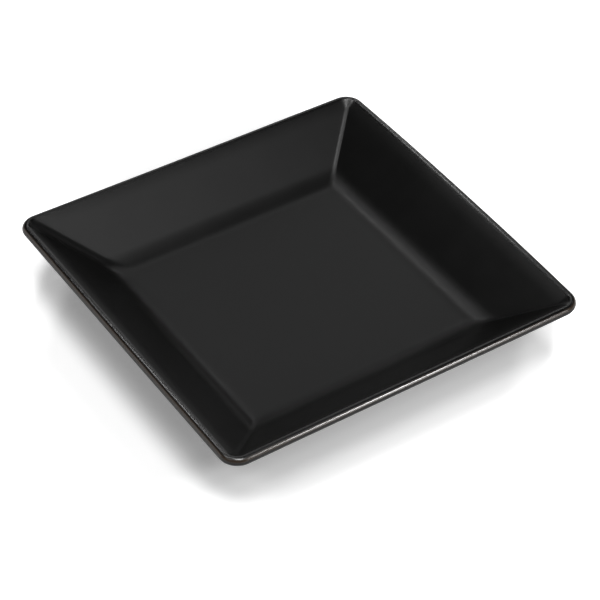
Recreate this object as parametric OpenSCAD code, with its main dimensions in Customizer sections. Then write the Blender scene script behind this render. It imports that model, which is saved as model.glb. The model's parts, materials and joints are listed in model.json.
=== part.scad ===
// Square stoneware dessert plate with a flat well and four sloped walls.
// Millimetres, +Z up. The origin is on the table, under the middle of the plate.

/* [Plate] */
// Width across the lip, the same both ways
plate_side = 180; // [150:1:220]
// Height from the table to the crest of the lip
plate_height = 27.5; // [21:0.5:36]
// Width of the well floor, from the foot of one wall to the foot of the wall opposite
floor_side = 118.5; // [95:0.5:142]
// Thickness of the floor and of the foot of the walls, with its glaze
floor_thickness = 4.8; // [3.6:0.1:6.5]

/* [Lip, corners and well] */
// Radius of the round outer edge of the lip
lip_radius = 2.1; // [1.5:0.1:2.6]
// Radius of the inner edge of the lip, between its crest and the wall of the well
lip_shoulder = 1.8; // [1.4:0.1:4]
// Radius of the gentle crown at the top of the wall of the well
crown_radius = 60; // [30:1:120]
// Angle that the crown turns through before the wall runs straight
crown_turn = 7; // [1:0.5:10]
// Plan radius of the four corners of the plate
corner_radius = 8.5; // [8:0.5:18]
// Plan radius of the mitre where two walls of the well meet
mitre_radius = 1.8; // [1:0.1:7]
// Radius of the fillet between the well floor and the walls
well_fillet = 20; // [5:0.5:26]

/* [Foot] */
// Height of the foot ring, which is the depth of the recess inside it
foot_height = 2.2; // [1.8:0.1:4]
// Width of the bare clay of the foot ring
foot_width = 5.5; // [4:0.5:7]
// Radius of the fillet between the foot ring and the underside
foot_fillet = 0.8; // [0.4:0.1:0.9]
// Radius of the edge of the foot ring where it meets the table
foot_edge = 0.4; // [0.1:0.1:0.8]
// Height of the band of the foot ring that is wiped clean of glaze
bare_band = 0.9; // [0.5:0.1:1.3]

/* [Glaze] */
// Thickness of the glaze
glaze = 0.4; // [0.2:0.1:0.6]

/* [Hidden] */

// Steps around each corner of the plan, and along each arc of the profile
corner_steps = 6;
arc_steps = 6;
// How far a cut runs past the table
overcut = 1;

half_side = plate_side / 2;
half_floor = floor_side / 2;
floor_level = foot_height + floor_thickness;

// Centre of the lip's round. The centre of the shoulder is in line with it, at its own height
lip_x = half_side - lip_radius;
lip_z = plate_height - lip_radius;
shoulder_z = plate_height - lip_shoulder;

// The wall of the well rises from the edge of the floor and touches the crown, which touches the shoulder.
// The shoulder's centre then lies this far under the line of the wall
shoulder_drop = crown_radius - (crown_radius - lip_shoulder) * cos(crown_turn);
shoulder_reach = norm([lip_x - half_floor, shoulder_z - floor_level]);
wall_slope = atan2(shoulder_z - floor_level, lip_x - half_floor) + asin(shoulder_drop / shoulder_reach);
shoulder_end = 90 + wall_slope - crown_turn;
crown_x = lip_x - (crown_radius - lip_shoulder) * cos(shoulder_end);
crown_z = shoulder_z - (crown_radius - lip_shoulder) * sin(shoulder_end);

// The fillet of the well and the heel under it share one centre
fillet_x = half_floor - well_fillet * tan(wall_slope / 2);
fillet_z = floor_level + well_fillet;
heel_radius = well_fillet + floor_thickness;

// The outside of the wall touches the heel and the lip's round
outer_reach = norm([lip_x - fillet_x, lip_z - fillet_z]);
outer_slope = atan2(lip_z - fillet_z, lip_x - fillet_x) + asin((heel_radius - lip_radius) / outer_reach);

// Half widths across the foot ring: glazed outside, bare clay outside, and bare clay inside
foot_half = fillet_x - foot_fillet;
bare_half = foot_half - glaze;
recess_half = bare_half - foot_width;
recess_corner = corner_radius - glaze - foot_width;

// Plan radius of a corner at half width x of the glazed surface, outside, in the well and at the foot
outside_corner = function (x) corner_radius;
well_corner = function (x) max(mitre_radius, corner_radius - (half_side - x));
foot_corner = function (x) corner_radius - (foot_half - x);

// An arc of the profile at a depth under the glazed surface, as [half width, height, plan radius] at each step.
// A hollow arc (way 1) widens with depth, a round one (way -1) narrows, and the corners keep their centres.
function arc(x, z, radius, way, depth, start, end, corner) = [
    for (i = [0:arc_steps])
        let (
            angle = start + (end - start) * i / arc_steps,
            surface_x = x + radius * cos(angle),
            deep_x = x + (radius + way * depth) * cos(angle)
        )
        [deep_x, z + (radius + way * depth) * sin(angle), corner(surface_x) + deep_x - surface_x]
];

// A list without its first entry, where two arcs meet in one point
function after_first(list) = [for (i = [1:len(list) - 1]) list[i]];

function reversed(list) = [for (i = [len(list) - 1:-1:0]) list[i]];

// The profile from the foot's fillet under the plate, out to the lip, over it and down to the well floor
function profile(depth) = concat(
    arc(fillet_x, foot_height - foot_fillet, foot_fillet, 1, depth, 180, 90, outside_corner),
    after_first(arc(fillet_x, fillet_z, heel_radius, -1, depth, -90, outer_slope - 90, outside_corner)),
    arc(lip_x, lip_z, lip_radius, -1, depth, outer_slope - 90, 0, outside_corner),
    after_first(arc(lip_x, lip_z, lip_radius, -1, depth, 0, 90, well_corner)),
    after_first(arc(lip_x, shoulder_z, lip_shoulder, -1, depth, 90, shoulder_end, well_corner)),
    after_first(arc(crown_x, crown_z, crown_radius, -1, depth, shoulder_end, 90 + wall_slope, well_corner)),
    arc(fillet_x, fillet_z, well_fillet, 1, depth, wall_slope - 90, -90, well_corner)
);

// The rounded bottom edge of the bare foot ring
function foot_bottom() =
    arc(bare_half - foot_edge, foot_edge, foot_edge + glaze, -1, glaze, -90, 0, foot_corner);

// The foot's outer face where it reaches the table, at a depth under the glazed surface
function foot_end(depth) = [[foot_half - depth, 0, corner_radius - depth]];

// Corner points of a rounded square of half width x, at height z
function ring(x, z, radius) = [
    for (quarter = [0:3], i = [0:corner_steps])
        let (angle = 90 * (quarter + i / corner_steps), middle = 45 + 90 * quarter)
        [
            (x - radius) * sign(cos(middle)) + radius * cos(angle),
            (x - radius) * sign(sin(middle)) + radius * sin(angle),
            z
        ]
];

// A solid through rounded squares, each given as [half width, height, plan radius], closed at both ends
module loft(squares) {
    count = 4 * (corner_steps + 1);
    last = len(squares) - 1;
    points = [for (s = squares) each ring(s[0], s[1], s[2])];
    sides = [
        for (k = [0:last - 1], i = [0:count - 1])
            let (low = k * count, high = low + count, next = (i + 1) % count)
            [low + i, high + i, high + next, low + next]
    ];
    first_cap = [for (i = [0:count - 1]) i];
    last_cap = [for (i = [count - 1:-1:0]) last * count + i];
    polyhedron(points, concat([first_cap], sides, [last_cap]));
}

// A flat rounded square of half width x
module rounded_square(x, radius) {
    square([2 * x, 2 * (x - radius)], center = true);
    square([2 * (x - radius), 2 * x], center = true);
    for (side_x = [-1, 1], side_y = [-1, 1])
        translate([side_x * (x - radius), side_y * (x - radius)]) circle(radius, $fn = 48);
}

// The recess under the plate, lined to a given thickness, from below the table up to its ceiling
module recess(lining) {
    translate([0, 0, -overcut])
        linear_extrude(overcut + foot_height + glaze - lining)
            rounded_square(recess_half - lining, recess_corner - lining);
}

// Everything below the line where the glaze is wiped off the foot
module wiped_zone() {
    translate([-half_side, -half_side, -overcut]) cube([plate_side, plate_side, overcut + bare_band]);
}

// Pressed and fired clay: floor, walls, lip and foot ring in one piece
module clay_body() {
    color([0.43, 0.34, 0.27])
        difference() {
            loft(concat(foot_bottom(), profile(glaze)));
            recess(0);
        }
}

// Black satin glaze over the well, the lip and the outside, down to the wiped foot
module glaze_coat() {
    color([0.09, 0.09, 0.09])
        difference() {
            loft(concat(reversed(profile(glaze)), foot_end(glaze), foot_end(0), profile(0)));
            wiped_zone();
        }
}

// The same glaze on the ceiling and the wall of the recess inside the foot ring
module base_glaze() {
    color([0.11, 0.11, 0.11])
        difference() {
            recess(0);
            recess(glaze);
            wiped_zone();
        }
}

clay_body();
glaze_coat();
base_glaze();
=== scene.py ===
import json
import math

import bmesh
import bpy
import numpy as np
from mathutils import Matrix, Vector


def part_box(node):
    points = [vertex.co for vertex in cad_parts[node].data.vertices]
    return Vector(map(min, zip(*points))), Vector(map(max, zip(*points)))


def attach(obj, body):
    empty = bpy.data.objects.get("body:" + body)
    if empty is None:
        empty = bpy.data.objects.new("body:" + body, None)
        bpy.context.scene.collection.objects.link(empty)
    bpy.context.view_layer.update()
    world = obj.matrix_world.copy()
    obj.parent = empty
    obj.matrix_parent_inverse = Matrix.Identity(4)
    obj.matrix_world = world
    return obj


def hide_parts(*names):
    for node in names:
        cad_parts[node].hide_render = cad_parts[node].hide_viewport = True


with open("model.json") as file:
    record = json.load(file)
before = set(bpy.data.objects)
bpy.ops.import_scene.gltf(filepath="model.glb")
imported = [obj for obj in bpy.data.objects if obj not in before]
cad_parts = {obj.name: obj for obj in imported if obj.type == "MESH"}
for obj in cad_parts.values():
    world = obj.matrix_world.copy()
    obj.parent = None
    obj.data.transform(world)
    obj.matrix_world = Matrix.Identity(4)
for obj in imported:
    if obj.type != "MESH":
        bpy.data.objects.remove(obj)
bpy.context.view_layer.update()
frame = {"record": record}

# Clay body. The plate itself, pressed from grogged stoneware and fired in one piece: well, walls, lip and
# foot ring. The glaze hides all of it but the bottom of the foot ring, which was wiped clean so that it
# wouldn't stick in the kiln.
clay_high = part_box("clay_body")[1]
coat_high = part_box("glaze_coat")[1]
base_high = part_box("base_glaze")[1]
mounts = {mount["name"]: mount for mount in frame["record"]["mounts"]}
half_side = coat_high.x
crest = coat_high.z
glaze_thickness = coat_high.z - clay_high.z
recess_half = base_high.x
foot_height = base_high.z - glaze_thickness
floor_level = mounts["well_floor"]["pos_m"][2]
half_floor = 0.05925
lip_radius = 0.0021
lip_shoulder = 0.0018
crown_radius = 0.060
crown_turn = math.radians(7)
corner_radius = 0.0085
mitre_radius = 0.0018
pressed_mitre_radius = 0.0050
well_fillet = 0.020
foot_width = 0.0055
foot_fillet = 0.0008
foot_edge = 0.0004

# The wall of the well touches the crown, which touches the lip's inner edge, so the centre of that edge
# lies a set drop under the line of the wall. The outside touches the lip's round and the heel.
quarter_turn = math.pi / 2
lip_x = half_side - lip_radius
lip_z = crest - lip_radius
shoulder_z = crest - lip_shoulder
shoulder_drop = crown_radius - (crown_radius - lip_shoulder) * math.cos(crown_turn)
shoulder_reach = math.hypot(lip_x - half_floor, shoulder_z - floor_level)
wall_slope = math.atan2(shoulder_z - floor_level, lip_x - half_floor)
wall_slope += math.asin(shoulder_drop / shoulder_reach)
wall_angle = quarter_turn + wall_slope
shoulder_end = wall_angle - crown_turn
crown_x = lip_x - (crown_radius - lip_shoulder) * math.cos(shoulder_end)
crown_z = shoulder_z - (crown_radius - lip_shoulder) * math.sin(shoulder_end)
fillet_x = half_floor - well_fillet * math.tan(wall_slope / 2)
fillet_z = floor_level + well_fillet
fillet_start = wall_slope - quarter_turn
heel_radius = fillet_z - foot_height
outer_reach = math.hypot(lip_x - fillet_x, lip_z - fillet_z)
outer_slope = math.atan2(lip_z - fillet_z, lip_x - fillet_x)
outer_slope += math.asin((heel_radius - lip_radius) / outer_reach)
outer_angle = outer_slope - quarter_turn
foot_half = recess_half + foot_width + glaze_thickness


def outside_corner(x):
    """Plan radius of the corners under the lip: the same at every half width."""
    return np.full_like(x, corner_radius)


def well_corner(x):
    """Plan radius of the corners inside the lip: it shrinks with the half width, down to the mitre's."""
    return np.maximum(mitre_radius, corner_radius - (half_side - x))


def foot_corner(x):
    """Plan radius of the foot ring's corners: it shrinks with the half width, from its outer face's."""
    return corner_radius - (foot_half - x)


def arc(x, z, radius, depth, start, end, steps, corner):
    """Arc about (x, z), at a depth under the glazed surface, as rows of half width, height and plan
    radius. Depth is taken off the radius, so a hollow arc has a negative depth, and the corners keep their
    centres."""
    angle = np.linspace(start, end, steps + 1)
    surface_x = x + radius * np.cos(angle)
    deep_x = x + (radius - depth) * np.cos(angle)
    deep_z = z + (radius - depth) * np.sin(angle)
    return np.stack([deep_x, deep_z, corner(surface_x) + deep_x - surface_x], axis=1)


def straight(first, last, steps):
    """Points between two rows of a profile, in equal steps, without the two ends."""
    share = np.linspace(0, 1, steps + 1)[1:-1, None]
    return first + (last - first) * share


def plate_profile(depth, fineness):
    """Profile of the plate at a depth under the glazed surface, from the foot's fillet out to the lip and
    in to the floor: arcs joined by the straight outside and the straight wall."""
    def steps(count):
        """A count of steps times the fineness, but at least two."""
        return max(2, round(count * fineness))

    foot_z = foot_height - foot_fillet
    foot = arc(fillet_x, foot_z, foot_fillet, -depth, math.pi, quarter_turn, steps(6), outside_corner)
    heel = arc(
        fillet_x, fillet_z, heel_radius, depth, -quarter_turn, outer_angle, steps(16), outside_corner,
    )
    under_lip = arc(lip_x, lip_z, lip_radius, depth, outer_angle, 0, steps(12), outside_corner)
    over_lip = arc(lip_x, lip_z, lip_radius, depth, 0, quarter_turn, steps(16), well_corner)
    shoulder = arc(
        lip_x, shoulder_z, lip_shoulder, depth, quarter_turn, shoulder_end, steps(14), well_corner,
    )
    crown = arc(crown_x, crown_z, crown_radius, depth, shoulder_end, wall_angle, steps(10), well_corner)
    fillet = arc(
        fillet_x, fillet_z, well_fillet, -depth, fillet_start, -quarter_turn, steps(20), well_corner,
    )
    outside = np.concatenate([foot, heel[1:], straight(heel[-1], under_lip[0], steps(12)), under_lip])
    wall = straight(crown[-1], fillet[0], steps(18))
    return np.concatenate([outside, over_lip[1:], shoulder[1:], crown[1:], wall, fillet])


side_steps = 34
corner_steps = 16
quarter_steps = 2 * side_steps + corner_steps
around = np.arange(4 * quarter_steps) / quarter_steps


def plan(turn):
    """Way round a rounded square, counted in quarter turns from the middle of a side: half that side, the
    corner, half the next side. Gives shares of the straight half width and the radius's direction."""
    quarter = np.floor(turn)
    part = turn - quarter
    run = side_steps / quarter_steps
    angle = quarter_turn * np.clip((part - run) / (1 - 2 * run), 0, 1)
    straight_x = 1 - np.clip((part - 1 + run) / run, 0, 1)
    straight_y = np.clip(part / run, 0, 1)
    cosine, sine = np.cos(quarter * quarter_turn), np.sin(quarter * quarter_turn)
    shares = straight_x * cosine - straight_y * sine, straight_x * sine + straight_y * cosine
    return shares, (np.cos(angle + quarter * quarter_turn), np.sin(angle + quarter * quarter_turn))


def pressed_corner(radius, height, turn):
    """Plan radius of a corner: as given, but at least that of the pressed mitre for the well's corner in
    the second quarter turn, which came out of the press rounder than the rest."""
    rounder = (height > floor_level / 2) & (turn >= 1) & (turn < 2)
    return np.where(rounder, np.maximum(radius, pressed_mitre_radius), radius)


def loft(profile, turn):
    """Surface of a profile carried round the plan: the straight part of the half width times the plan's
    share, plus the corner's radius along its direction."""
    half, height = profile[:, 0, None], profile[:, 1, None]
    radius = pressed_corner(profile[:, 2, None], height, turn)
    (share_x, share_y), (radius_x, radius_y) = plan(turn)
    x = (half - radius) * share_x + radius * radius_x
    y = (half - radius) * share_y + radius * radius_y
    return np.stack([x, y, np.broadcast_to(height, x.shape)], axis=2)


def panel(edge):
    """Flat panel inside a rounded square: a square grid whose squares are shrunk copies of the edge, so
    that it has no pole."""
    u, v = np.meshgrid(np.linspace(-1, 1, quarter_steps + 1), np.linspace(-1, 1, quarter_steps + 1))
    size = np.maximum(np.abs(u), np.abs(v))
    safe = np.where(size > 0, size, 1)
    a, b = u / safe, v / safe
    turn = np.select([a >= 1, b >= 1, a <= -1], [b / 2, 1 - a / 2, 2 - b / 2], 3 + a / 2) % 4
    half, height, given_radius = edge
    radius = pressed_corner(given_radius, height, turn)
    (share_x, share_y), (radius_x, radius_y) = plan(turn)
    x = size * ((half - radius) * share_x + radius * radius_x)
    y = size * ((half - radius) * share_y + radius * radius_y)
    return np.stack([x, y, np.full_like(x, height)], axis=2)


side_bow = 0.00154
lip_wave = 0.00012
skew_x = 0.0003
skew_y = -0.0004
floor_sink = 0.0002


def fired(points):
    """Moves points as the kiln moved the clay: the plan skews a little, one side bows out at the lip, the
    lip waves by less than its own thickness, and the floor sinks a hair inside the foot ring, which stays
    flat."""
    x, y, z = points[..., 0], points[..., 1], points[..., 2]
    u, v, rise = x / half_side, y / half_side, np.clip(z / crest, 0, 1)
    bow = side_bow * np.clip(u, 0, 1) ** 3 * (1 - v ** 2) * rise ** 2
    long_wave = np.sin(2.3 * u - 1.7 * v + 0.6)
    short_wave = 0.6 * np.sin(4.1 * v + 2.9 * u + 2.0)
    wave = lip_wave * rise ** 2 * (long_wave + short_wave)
    inside = np.clip(1 - (x / recess_half) ** 2, 0, 1) * np.clip(1 - (y / recess_half) ** 2, 0, 1)
    sink = floor_sink * inside ** 2
    return np.stack([x + bow + skew_x * u * v, y + skew_y * u * v, z + wave - sink], axis=-1)


weld_distance = 1e-7


def make_piece(name, surfaces, attributes=None):
    """Object of several grids of points, each closed round its columns or not, welded where edges meet.
    Columns run to the right of rows as seen from outside, so that faces point outwards."""
    points, faces, count = [], [], 0
    for grid, closed in surfaces:
        index = count + np.arange(grid.shape[0] * grid.shape[1]).reshape(grid.shape[:2])
        if closed:
            index = np.concatenate([index, index[:, :1]], axis=1)
        corners = [index[:-1, :-1], index[:-1, 1:], index[1:, 1:], index[1:, :-1]]
        faces.append(np.stack(corners, axis=-1).reshape(-1, 4))
        points.append(grid.reshape(-1, 3))
        count += points[-1].shape[0]
    mesh = bpy.data.meshes.new(name)
    mesh.from_pydata(np.concatenate(points).tolist(), [], np.concatenate(faces).tolist())
    for label, values in (attributes or {}).items():
        layer = mesh.attributes.new(label, "FLOAT", "POINT")
        layer.data.foreach_set("value", np.concatenate([v.ravel() for v in values]).astype(np.float32))
    weld = bmesh.new()
    weld.from_mesh(mesh)
    bmesh.ops.remove_doubles(weld, verts=weld.verts, dist=weld_distance)
    weld.to_mesh(mesh)
    weld.free()
    mesh.polygons.foreach_set("use_smooth", np.ones(len(mesh.polygons), bool))
    piece = bpy.data.objects.new(name, mesh)
    bpy.context.scene.collection.objects.link(piece)
    return piece


hidden_fineness = 0.4
foot_edge_steps = 6
recess_steps = 4
bearing_steps = 8
foot_bottom = arc(
    foot_half - glaze_thickness - foot_edge, foot_edge, foot_edge + glaze_thickness, glaze_thickness,
    -quarter_turn, 0, foot_edge_steps, foot_corner,
)
recess_corner = corner_radius - glaze_thickness - foot_width
ceiling_edge = np.array([recess_half, base_high.z, recess_corner])
bearing_edge = np.array([recess_half, foot_edge, recess_corner])
bearing_start = np.array([recess_half + foot_edge, 0, recess_corner + foot_edge])
clay_profile = np.concatenate([
    ceiling_edge[None], straight(ceiling_edge, bearing_edge, recess_steps), bearing_edge[None],
    bearing_start[None], straight(bearing_start, foot_bottom[0], bearing_steps), foot_bottom,
    plate_profile(glaze_thickness, hidden_fineness),
])
clay_body = make_piece("clay_body_fired", [
    (fired(loft(clay_profile, around)), True),
    (fired(panel(ceiling_edge))[:, ::-1], False),
    (fired(panel(clay_profile[-1])), False),
])


class Shade:
    """A socket of a material. Operators on it add Math nodes, and node() adds any other node."""

    def __init__(self, tree, socket=None):
        self.tree = tree
        self.socket = socket

    def node(self, kind, settings=None, inputs=None, output=0):
        """Adds a node, sets its settings first and then its sockets, and gives one of its outputs."""
        made = self.tree.nodes.new(kind)
        for key, value in (settings or {}).items():
            setattr(made, key, value)
        for key, value in (inputs or {}).items():
            if isinstance(value, Shade):
                self.tree.links.new(value.socket, made.inputs[key])
            else:
                made.inputs[key].default_value = value
        return Shade(self.tree, made.outputs[output] if made.outputs else None)

    def other(self, output):
        """Another output of the node that this socket belongs to."""
        return Shade(self.tree, self.socket.node.outputs[output])

    def maths(self, operation, first, second=0.0):
        """Result of a Math node's operation on two values."""
        return self.node("ShaderNodeMath", {"operation": operation}, {0: first, 1: second})

    def __add__(self, other):
        return self.maths("ADD", self, other)

    __radd__ = __add__

    def __mul__(self, other):
        return self.maths("MULTIPLY", self, other)

    __rmul__ = __mul__

    def __sub__(self, other):
        return self.maths("SUBTRACT", self, other)

    def __rsub__(self, other):
        return self.maths("SUBTRACT", other, self)

    def step(self, low, high):
        """Smooth step from 0 at low to 1 at high."""
        settings = {"interpolation_type": "SMOOTHSTEP"}
        return self.node("ShaderNodeMapRange", settings, {0: self, 1: low, 2: high, 3: 0.0, 4: 1.0})

    def mix(self, low, high):
        """Colour between low and high, by this value as the share of high."""
        return self.node("ShaderNodeMix", {"data_type": "RGBA"}, {0: self, 6: low, 7: high}, 2)


def new_material(name):
    """A material with its nodes cleared, and the start of its expressions."""
    material = bpy.data.materials.new(name)
    material.use_nodes = True
    material.node_tree.nodes.clear()
    return material, Shade(material.node_tree)


def noise(start, place, scale, detail, roughness=0.5):
    """Value from 0 to 1 of a noise with features of about 1/scale metres."""
    inputs = {"Vector": place, "Scale": scale, "Detail": detail, "Roughness": roughness}
    return start.node("ShaderNodeTexNoise", {}, inputs)


def bare_clay():
    """Fired stoneware: warm buff, mottled by the fire, with iron specks, pale grog and a gritty skin."""
    dark_buff, pale_buff = (0.23, 0.14, 0.085, 1), (0.34, 0.22, 0.135, 1)
    iron_brown, grog_cream = (0.045, 0.025, 0.016, 1), (0.52, 0.40, 0.29, 1)
    iron_share, grog_share = 0.8, 0.55
    least_roughness, roughness_range = 0.78, 0.14
    grit_height = 0.00012
    material, start = new_material("bare_stoneware")
    place = start.node("ShaderNodeTexCoord", output="Object")
    fire = noise(start, place, scale=90, detail=3.0)
    grit = noise(start, place, scale=1600, detail=2.0)
    iron = noise(start, place, scale=1100, detail=1.0).step(0.66, 0.72)
    grog = noise(start, place, scale=760, detail=1.0).step(0.68, 0.75)
    colour = fire.step(0.3, 0.7).mix(dark_buff, pale_buff)
    colour = (iron * iron_share).mix(colour, iron_brown)
    colour = (grog * grog_share).mix(colour, grog_cream)
    relief = grit + grog * 0.5
    bump = start.node("ShaderNodeBump", {}, {"Strength": 0.5, "Distance": grit_height, "Height": relief})
    shader = start.node("ShaderNodeBsdfPrincipled", {}, {
        "Base Color": colour, "Roughness": least_roughness + fire * roughness_range,
        "Specular IOR Level": 0.35, "Normal": bump,
    })
    start.node("ShaderNodeOutputMaterial", {}, {"Surface": shader})
    return material


clay_body.data.materials.append(bare_clay())
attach(clay_body, "root")
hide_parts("clay_body")

# Glaze coat. Black satin glaze, dipped and fused to the clay over the well, the walls, the lip and the
# outside. It runs thin and breaks to brown along the lip's edge, and ends in a soft bead at the line wiped
# round the foot.
bare_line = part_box("glaze_coat")[0].z
bead_radius = glaze_thickness / 2
bead_steps = 8
bead_wave = 0.00012


def edge_bead(edge, side, low, corner):
    """Half round that ends a film of glaze, as rows of a profile: about a centre one bead radius in from
    the edge, down to low. It starts at the edge for a side of 1 and ends there for a side of -1."""
    angle = np.linspace(0, -math.pi, bead_steps + 1)
    x = edge - bead_radius + side * bead_radius * np.cos(angle)
    z = low + bead_radius + bead_radius * np.sin(angle)
    return np.stack([x, z, corner + x - edge], axis=1)


coat_bead = edge_bead(foot_half, 1, bare_line, corner_radius)
coat_outside = plate_profile(0, 1)
coat_inside = plate_profile(glaze_thickness, hidden_fineness)
coat_profile = np.concatenate([coat_inside[::-1], coat_bead[::-1], coat_outside])
coat_grid = loft(coat_profile, around)
bead_rows = slice(len(coat_inside), len(coat_inside) + len(coat_bead))
bead_turn = quarter_turn * around
coat_grid[bead_rows, :, 2] += bead_wave * (np.sin(5 * bead_turn) + 0.7 * np.sin(13 * bead_turn + 1.3))

thin_reach = 0.0004
thin_angle = 0.7
thin_spread = 0.5
bead_reach = 0.0005
smooth_inset = 0.0006
smooth_rise = 0.0012
smooth_fade_in = 0.0009
smooth_fade_down = 0.0005


def bead_thinness(profile, low):
    """How thin the glaze lies at its bead: 1 at the bottom of the bead, less with the height over it."""
    return np.exp(-((profile[:, 1] - low) / bead_reach) ** 2)


def thinness(profile):
    """How thin the glaze lies, from 0 to 1: thin where a point is close to the lip's round and looks
    outwards and up from it, and at the bead."""
    away_x, away_z = profile[:, 0] - lip_x, profile[:, 1] - lip_z
    near_lip = np.exp(-((np.hypot(away_x, away_z) - lip_radius) / thin_reach) ** 2)
    on_edge = np.exp(-((np.arctan2(away_z, away_x) - thin_angle) / thin_spread) ** 2)
    return np.maximum(near_lip * on_edge, bead_thinness(profile, bare_line))


def smoothness(profile):
    """How smooth the glaze lies, from 0 to 1: it is drawn tight over the lip, and turns satin inwards and
    downwards from there."""
    inward = np.maximum(0, lip_x - smooth_inset - profile[:, 0])
    below = np.maximum(0, lip_z + smooth_rise - profile[:, 1])
    return np.exp(-(inward / smooth_fade_in) ** 2 - (below / smooth_fade_down) ** 2)


def all_round(values):
    """Values at the points of a profile, repeated all the way round the plan."""
    return np.repeat(values[:, None], len(around), axis=1)


flat = np.zeros((quarter_steps + 1, quarter_steps + 1))
glaze_coat = make_piece("glaze_coat_fused", [
    (fired(coat_grid), True),
    (fired(panel(coat_outside[-1])), False),
    (fired(panel(coat_inside[-1])[:, ::-1]), False),
], {
    "thin": [all_round(thinness(coat_profile)), flat, flat],
    "smooth": [all_round(smoothness(coat_profile)), flat, flat],
})


def black_glaze():
    """Satin black glaze: near black, faintly mottled, brown where it is thin, smoother where it is drawn
    tight, with a fine pitted skin."""
    deep_black, soft_black = (0.0017, 0.0017, 0.0017, 1), (0.0025, 0.0025, 0.0024, 1)
    broken_brown = (0.046, 0.032, 0.022, 1)
    satin_roughness, mottle_roughness, tight_drop = 0.31, 0.06, 0.11
    skin_height = 0.00004
    material, start = new_material("satin_black_glaze")
    place = start.node("ShaderNodeTexCoord", output="Object")
    thin = start.node("ShaderNodeAttribute", {"attribute_name": "thin"}, output="Fac")
    smooth = start.node("ShaderNodeAttribute", {"attribute_name": "smooth"}, output="Fac")
    cloud = noise(start, place, scale=55, detail=4.0, roughness=0.6)
    skin = noise(start, place, scale=800, detail=3.0, roughness=0.6)
    mottle = cloud - 0.5
    broken = (thin + mottle * 0.5).step(0.35, 0.95)
    colour = broken.mix(cloud.step(0.3, 0.7).mix(deep_black, soft_black), broken_brown)
    bump = start.node("ShaderNodeBump", {}, {"Strength": 0.25, "Distance": skin_height, "Height": skin})
    shader = start.node("ShaderNodeBsdfPrincipled", {}, {
        "Base Color": colour, "Normal": bump, "Coat Weight": smooth, "Coat Roughness": 0.2,
        "Roughness": satin_roughness + mottle * mottle_roughness - smooth * tight_drop,
    })
    start.node("ShaderNodeOutputMaterial", {}, {"Surface": shader})
    return material


glaze_coat.data.materials.append(black_glaze())
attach(glaze_coat, "root")
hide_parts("glaze_coat")

# Base glaze. The same glaze on the underside, inside the foot ring: a flat film with a turned-down edge.
# It is poured in after the dip, so it is its own film, and it stops in a bead above the bare bottom of
# the foot.
base_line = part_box("base_glaze")[0].z
cove_radius = 0.0006
cove_steps = 6
cove_angle = np.linspace(0, quarter_turn, cove_steps + 1)
cove_x = recess_half - glaze_thickness - cove_radius + cove_radius * np.cos(cove_angle)
cove_z = foot_height - cove_radius + cove_radius * np.sin(cove_angle)
base_cove = np.stack([cove_x, cove_z, recess_corner + cove_x - recess_half], axis=1)
base_bead = edge_bead(recess_half, -1, base_line, recess_corner)
base_profile = np.concatenate([base_cove[::-1], base_bead, ceiling_edge[None]])
base_glaze = make_piece("base_glaze_fused", [
    (fired(loft(base_profile, around)), True),
    (fired(panel(base_cove[-1]))[:, ::-1], False),
    (fired(panel(ceiling_edge)), False),
], {"thin": [all_round(bead_thinness(base_profile, base_line)), flat, flat]})
base_glaze.data.materials.append(glaze_coat.data.materials[0])
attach(base_glaze, "root")
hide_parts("base_glaze")

# Table. A white studio sweep: a flat round table whose edge curves up into a low wall on every side.
# It is plain matt white, and takes the plate's shadow near the middle. A painted glow that only the camera
# sees lightens the table and that shadow by position: least just off the plate's front edges, most past its
# corners.
table_start = 0.02
table_radius = 1.7
table_rows = 30
table_columns = 96
sweep_radius = 0.5
sweep_steps = 12
sweep_angle = np.linspace(0, quarter_turn, sweep_steps + 1)[1:]
flat_out = np.linspace(table_start, table_radius, table_rows)
table_out = np.concatenate([flat_out, table_radius + sweep_radius * np.sin(sweep_angle)])[:, None]
table_up = np.concatenate([np.zeros(table_rows), sweep_radius * (1 - np.cos(sweep_angle))])[:, None]
table_turn = np.linspace(0, 2 * math.pi, table_columns, endpoint=False)
table_x, table_y = table_out * np.cos(table_turn), table_out * np.sin(table_turn)
table_grid = np.stack([table_x, table_y, np.broadcast_to(table_up, table_x.shape)], axis=2)[:, ::-1]
table_middle = np.zeros_like(table_grid[:1])
table = make_piece("table", [(np.concatenate([table_middle, table_grid]), True)])


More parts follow.
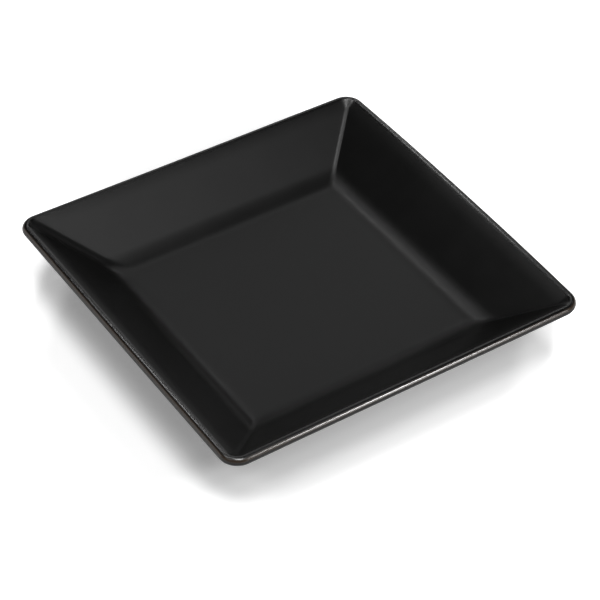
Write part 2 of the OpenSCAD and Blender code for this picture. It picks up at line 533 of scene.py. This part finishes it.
def white_table():
    """Matt white, lit by the lamps. The camera sees it lifted towards white by a painted glow, least where
    the plate's shadow lies and most past the plate's corners, so the glow paints how far that shadow
    reaches, and plain white further out. Reflections show the far table as a pale grey."""
    matt_white, pure_white = (0.9, 0.9, 0.9, 1), (1, 1, 1, 1)
    painted_base_light, painted_corner_light = 0.235, 0.08
    reflected_grey = 0.4
    near_table, far_table = 0.22, 0.5
    material, start = new_material("white_table")
    place = start.node("ShaderNodeTexCoord", output="Object")
    x = start.node("ShaderNodeSeparateXYZ", {}, {0: place}, "X")
    y = x.other("Y")
    distance = start.node("ShaderNodeVectorMath", {"operation": "LENGTH"}, {0: place}, "Value")

    # Ways out: over a rounded square, off the diagonal through the corner at -X -Y, and along that
    # diagonal.
    #     The painted light grows along them, lightening the shadow past the left, right and front corners.
    square_x, square_y = x * x, y * y
    out = start.maths("POWER", square_x * square_x * square_x + square_y * square_y * square_y, 1 / 6)
    across = start.maths("ABSOLUTE", (x - y) * math.sqrt(0.5))
    ahead = (x + y) * -math.sqrt(0.5)
    # Painted light: a glow only the camera sees, added to the lit table, weakest just off the front edges
    # where the plate's shadow shows
    painted_light = painted_base_light
    for way, low, high, gain in (
        (out, 0.090, 0.101, 0.25), (0 - y, 0.070, 0.080, 0.08), (x, 0.076, 0.088, 0.30),
        (across, 0.097, 0.108, 0.12), (across, 0.113, 0.121, 0.30),
    ):
        painted_light = painted_light + way.step(low, high) * gain
    painted_light = painted_light + ahead.step(0.098, 0.108) * (1 - across.step(0.004, 0.020)) * painted_corner_light

    def glow(strength):
        """White light of a strength, where 1 is plain white."""
        return start.node("ShaderNodeEmission", {}, {"Color": pure_white, "Strength": strength})

    def blend(share, first, second):
        """Two shaders mixed, by the share of the second."""
        return start.node("ShaderNodeMixShader", {}, {0: share, 1: first, 2: second})

    camera = start.node("ShaderNodeLightPath", output="Is Camera Ray")
    mirrored = start.maths("MAXIMUM", camera.other("Is Glossy Ray"), camera.other("Is Transmission Ray"))
    seen = start.maths("MAXIMUM", camera, mirrored)
    lit = start.node("ShaderNodeBsdfDiffuse", {}, {"Color": matt_white})
    # Painted glow: the camera sees the lit table plus this share of white
    painted_glow = blend(camera * painted_light, glow(0.0), glow(1.0))
    near = start.node("ShaderNodeAddShader", {}, {0: lit, 1: painted_glow})
    far = blend(camera, glow(reflected_grey), glow(1.0))
    surface = blend(seen * distance.step(near_table, far_table), near, far)
    start.node("ShaderNodeOutputMaterial", {}, {"Surface": surface})
    return material


table.data.materials.append(white_table())

# Lamps and camera. Softboxes stand above, behind, in front and at the sides of the table, in a dim room.
# The camera looks down over the corner at -X -Y with a long lens, as the photograph was taken.
room_grey = 0.02
world = bpy.data.worlds.new("dim_room")
world.use_nodes = True
background = world.node_tree.nodes["Background"]
background.inputs["Color"].default_value = (room_grey, room_grey, room_grey, 1)
background.inputs["Strength"].default_value = 1.0
bpy.context.scene.world = world


def softbox(name, azimuth, elevation, distance, width, height, power):
    """A rectangular lamp that faces the plate, unseen by the camera itself. Azimuth, from +X towards +Y,
    and elevation are in degrees, distance, width and height in metres, and power in watts."""
    turn, rise = math.radians(azimuth), math.radians(elevation)
    toward = Vector((math.cos(rise) * math.cos(turn), math.cos(rise) * math.sin(turn), math.sin(rise)))
    lamp = bpy.data.lights.new(name, "AREA")
    lamp.shape = "RECTANGLE"
    lamp.size = width
    lamp.size_y = height
    lamp.energy = power
    stand = bpy.data.objects.new(name, lamp)
    stand.location = toward * distance
    stand.rotation_mode = "QUATERNION"
    stand.rotation_quaternion = toward.to_track_quat("Z", "Y")
    stand.visible_camera = False
    bpy.context.scene.collection.objects.link(stand)


softbox("key_softbox", 300, 36, 1.3, 0.2, 0.2, 4.0)
softbox("low_key_softbox", 296, 16, 1.3, 0.2, 0.3, 1.2)
softbox("front_softbox", 270, 60, 1.3, 0.45, 0.4, 0.9)
softbox("top_softbox", 250, 76, 1.3, 0.45, 0.45, 4.9)
softbox("overhead_softbox", 0, 89, 1.3, 1.0, 1.0, 0.6)
softbox("wall_softbox", 316, 60, 1.3, 0.25, 0.25, 0.22)
softbox("left_softbox", 188, 50, 1.3, 0.5, 0.5, 0.5)
softbox("back_left_softbox", 135, 64, 1.3, 0.2, 0.2, 0.8)
softbox("back_top_softbox", 95, 77, 1.3, 0.36, 0.36, 0.9)
softbox("rear_softbox", 80, 52, 1.3, 0.1, 0.1, 0.38)
softbox("rear_side_softbox", 98, 53, 1.3, 0.14, 0.12, 0.22)
softbox("far_softbox", 56, 46, 1.4, 0.5, 0.2, 0.245)
softbox("far_left_softbox", 67, 33, 1.4, 0.35, 0.25, 0.115)
softbox("far_middle_softbox", 47, 35, 1.4, 0.4, 0.3, 0.17)
softbox("far_low_softbox", 60, 22, 1.4, 0.35, 0.15, 0.08)
softbox("crest_softbox", 45, 29, 1.3, 0.08, 0.08, 0.10)
softbox("far_right_softbox", 15, 40, 1.3, 0.25, 0.25, 0.08)
softbox("low_left_softbox", 138, 18, 1.3, 0.9, 0.34, 0.5)

camera_azimuth = math.radians(-33.698)
camera_elevation = math.radians(42.001)
camera_roll = math.radians(0.719)
camera_distance = 0.98172
camera_target = Vector((-0.00056256, -0.00486966, lip_z - 0.0169))
camera_data = bpy.data.cameras.new("camera")
camera_data.sensor_width = 36
camera_data.lens = 133.32
camera_data.clip_end = 20
camera_object = bpy.data.objects.new("camera", camera_data)
bpy.context.scene.collection.objects.link(camera_object)
backward = Vector((
    math.sin(camera_azimuth) * math.cos(camera_elevation),
    -math.cos(camera_azimuth) * math.cos(camera_elevation),
    math.sin(camera_elevation),
))
level = Vector((math.cos(camera_azimuth), math.sin(camera_azimuth), 0))
upright = backward.cross(level)
rightward = level * math.cos(camera_roll) + upright * math.sin(camera_roll)
upward = upright * math.cos(camera_roll) - level * math.sin(camera_roll)
turned = Matrix((rightward, upward, backward)).transposed().to_4x4()
camera_object.matrix_world = Matrix.Translation(camera_target + backward * camera_distance) @ turned
bpy.context.scene.camera = camera_object
bpy.context.scene.view_settings.view_transform = "Standard"
